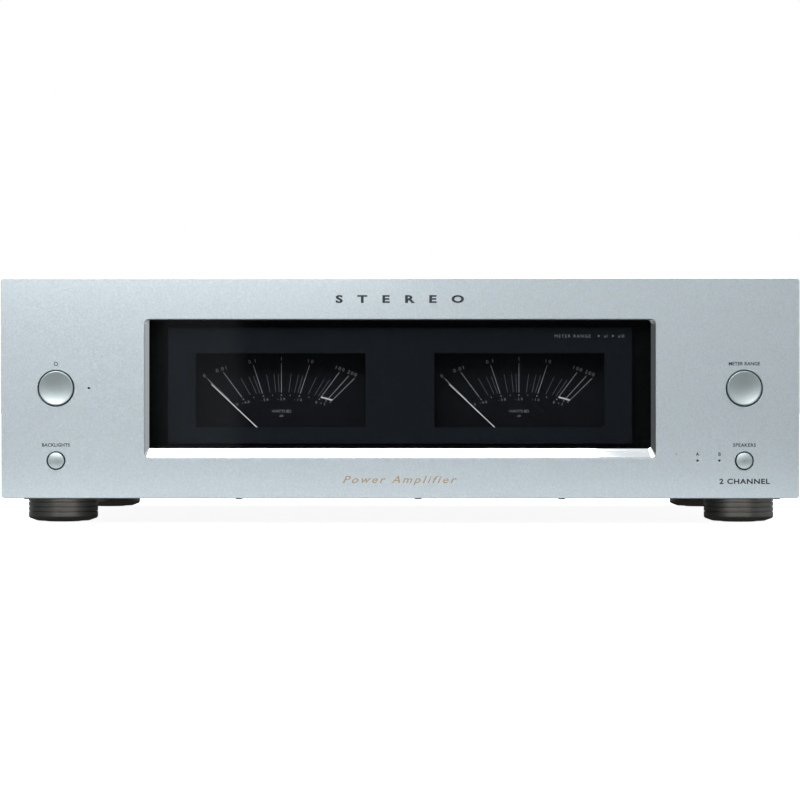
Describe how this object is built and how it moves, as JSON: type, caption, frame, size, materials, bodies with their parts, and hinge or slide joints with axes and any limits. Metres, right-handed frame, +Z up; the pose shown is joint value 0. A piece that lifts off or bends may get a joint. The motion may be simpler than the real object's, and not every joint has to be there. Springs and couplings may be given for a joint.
{
  "type": "power amplifier",
  "caption": "Full-width stereo power amplifier with a silver front panel, a dark glass window over two pointer meters, push buttons, round feet and rear terminals.",
  "frame": {"origin": "on the shelf, under the middle of the whole object", "axes": "+X to the right seen from the front, +Y towards the back, so the front panel faces -Y, +Z up"},
  "size_m": [0.435, 0.3804, 0.134],
  "materials": {
    "panel_aluminium": "bead-blasted, silver anodised",
    "polished_trim": "polished aluminium",
    "window_glass": "smoked glass, polished",
    "meter_black": "fine matt black",
    "dial_print": "matt black, printed",
    "needle_white": "white paint",
    "foot_metal": "satin, dark",
    "rubber": "matt",
    "cover_paint": "fine textured silver paint",
    "plated_steel": "zinc plated",
    "rear_paint": "fine textured black paint",
    "circuit_board": "solder resist",
    "led_lens": "clear grey lens",
    "transformer_winding": "varnished winding",
    "capacitor_sleeve": "shrink sleeve",
    "heatsink_black": "black anodised",
    "socket_metal": "nickel plated",
    "socket_black": "moulded black",
    "gold_plate": "gold plated",
    "terminal_red": "clear red"
  },
  "bodies": {
    "root": {"amplifier_board_left": "circuit_board", "amplifier_board_right": "circuit_board", "balanced_input_left": "socket_metal", "balanced_input_right": "socket_metal", "bottom_plate": "plated_steel", "capacitor_left": "capacitor_sleeve", "capacitor_right": "capacitor_sleeve", "dial_left": "dial_print", "dial_right": "dial_print", "foot_front_left": "foot_metal", "foot_front_right": "foot_metal", "foot_pad_front_left": "rubber", "foot_pad_front_right": "rubber", "foot_pad_rear_left": "rubber", "foot_pad_rear_right": "rubber", "foot_rear_left": "foot_metal", "foot_rear_right": "foot_metal", "front_chassis_plate": "plated_steel", "front_panel": "panel_aluminium", "heatsink_left": "heatsink_black", "heatsink_right": "heatsink_black", "input_selector": "socket_black", "mains_inlet": "socket_black", "meter_case_left": "meter_black", "meter_case_right": "meter_black", "meter_mask": "meter_black", "meter_movement_left": "plated_steel", "meter_movement_right": "plated_steel", "phono_input_left": "gold_plate", "phono_input_right": "gold_plate", "power_led": "led_lens", "power_supply_board": "circuit_board", "rear_panel": "rear_paint", "speaker_led_a": "led_lens", "speaker_led_b": "led_lens", "switch_board_left": "circuit_board", "switch_board_right": "circuit_board", "terminal_block_left": "socket_black", "terminal_block_right": "socket_black", "top_cover": "cover_paint", "transformer": "transformer_winding", "transformer_bolt": "plated_steel", "transformer_clamp": "plated_steel", "window_bezel": "polished_trim", "window_glass": "window_glass"},
    "backlight_button": {"backlight_button": "panel_aluminium"},
    "input_selector_lever": {"input_selector_lever": "socket_black"},
    "meter_range_button": {"meter_range_button": "panel_aluminium"},
    "needle_left": {"needle_left": "needle_white"},
    "needle_right": {"needle_right": "needle_white"},
    "power_button": {"power_button": "panel_aluminium"},
    "speaker_button": {"speaker_button": "panel_aluminium"},
    "terminal_cap_left_a_negative": {"terminal_cap_left_a_negative": "socket_black"},
    "terminal_cap_left_a_positive": {"terminal_cap_left_a_positive": "terminal_red"},
    "terminal_cap_left_b_negative": {"terminal_cap_left_b_negative": "socket_black"},
    "terminal_cap_left_b_positive": {"terminal_cap_left_b_positive": "terminal_red"},
    "terminal_cap_right_a_negative": {"terminal_cap_right_a_negative": "socket_black"},
    "terminal_cap_right_a_positive": {"terminal_cap_right_a_positive": "terminal_red"},
    "terminal_cap_right_b_negative": {"terminal_cap_right_b_negative": "socket_black"},
    "terminal_cap_right_b_positive": {"terminal_cap_right_b_positive": "terminal_red"}
  },
  "joints": [
    {"name": "power_button_press", "type": "slide", "parent": "root", "child": "power_button", "axis": [0, 1, 0], "range_m": [0, 0.001], "stiffness_N_per_m": 1200},
    {"name": "meter_range_button_press", "type": "slide", "parent": "root", "child": "meter_range_button", "axis": [0, 1, 0], "range_m": [0, 0.001], "stiffness_N_per_m": 1200},
    {"name": "backlight_button_press", "type": "slide", "parent": "root", "child": "backlight_button", "axis": [0, 1, 0], "range_m": [0, 0.001], "stiffness_N_per_m": 800},
    {"name": "speaker_button_press", "type": "slide", "parent": "root", "child": "speaker_button", "axis": [0, 1, 0], "range_m": [0, 0.001], "stiffness_N_per_m": 800},
    {"name": "needle_left_swing", "type": "hinge", "parent": "root", "child": "needle_left", "pos_m": [-0.0653, -0.17435, 0.04], "axis": [0, 1, 0], "range_deg": [0, 93.2], "stiffness_Nm_per_rad": 0.0001, "springref_deg": -17.19},
    {"name": "needle_right_swing", "type": "hinge", "parent": "root", "child": "needle_right", "pos_m": [0.0653, -0.17435, 0.04], "axis": [0, 1, 0], "range_deg": [0, 93.2], "stiffness_Nm_per_rad": 0.0001, "springref_deg": -17.19},
    {"name": "input_selector_slide", "type": "slide", "parent": "root", "child": "input_selector_lever", "axis": [1, 0, 0], "range_m": [0, 0.0054]},
    {"name": "terminal_cap_left_a_positive_unscrew", "type": "hinge", "parent": "root", "child": "terminal_cap_left_a_positive", "pos_m": [-0.094, 0.17825, 0.046], "axis": [0, 1, 0], "range_deg": [0, 1710]},
    {"name": "terminal_cap_left_a_negative_unscrew", "type": "hinge", "parent": "root", "child": "terminal_cap_left_a_negative", "pos_m": [-0.118, 0.17825, 0.046], "axis": [0, 1, 0], "range_deg": [0, 1710]},
    {"name": "terminal_cap_left_b_positive_unscrew", "type": "hinge", "parent": "root", "child": "terminal_cap_left_b_positive", "pos_m": [-0.142, 0.17825, 0.046], "axis": [0, 1, 0], "range_deg": [0, 1710]},
    {"name": "terminal_cap_left_b_negative_unscrew", "type": "hinge", "parent": "root", "child": "terminal_cap_left_b_negative", "pos_m": [-0.166, 0.17825, 0.046], "axis": [0, 1, 0], "range_deg": [0, 1710]},
    {"name": "terminal_cap_right_a_positive_unscrew", "type": "hinge", "parent": "root", "child": "terminal_cap_right_a_positive", "pos_m": [0.094, 0.17825, 0.046], "axis": [0, 1, 0], "range_deg": [0, 1710]},
    {"name": "terminal_cap_right_a_negative_unscrew", "type": "hinge", "parent": "root", "child": "terminal_cap_right_a_negative", "pos_m": [0.118, 0.17825, 0.046], "axis": [0, 1, 0], "range_deg": [0, 1710]},
    {"name": "terminal_cap_right_b_positive_unscrew", "type": "hinge", "parent": "root", "child": "terminal_cap_right_b_positive", "pos_m": [0.142, 0.17825, 0.046], "axis": [0, 1, 0], "range_deg": [0, 1710]},
    {"name": "terminal_cap_right_b_negative_unscrew", "type": "hinge", "parent": "root", "child": "terminal_cap_right_b_negative", "pos_m": [0.166, 0.17825, 0.046], "axis": [0, 1, 0], "range_deg": [0, 1710]}
  ]
}
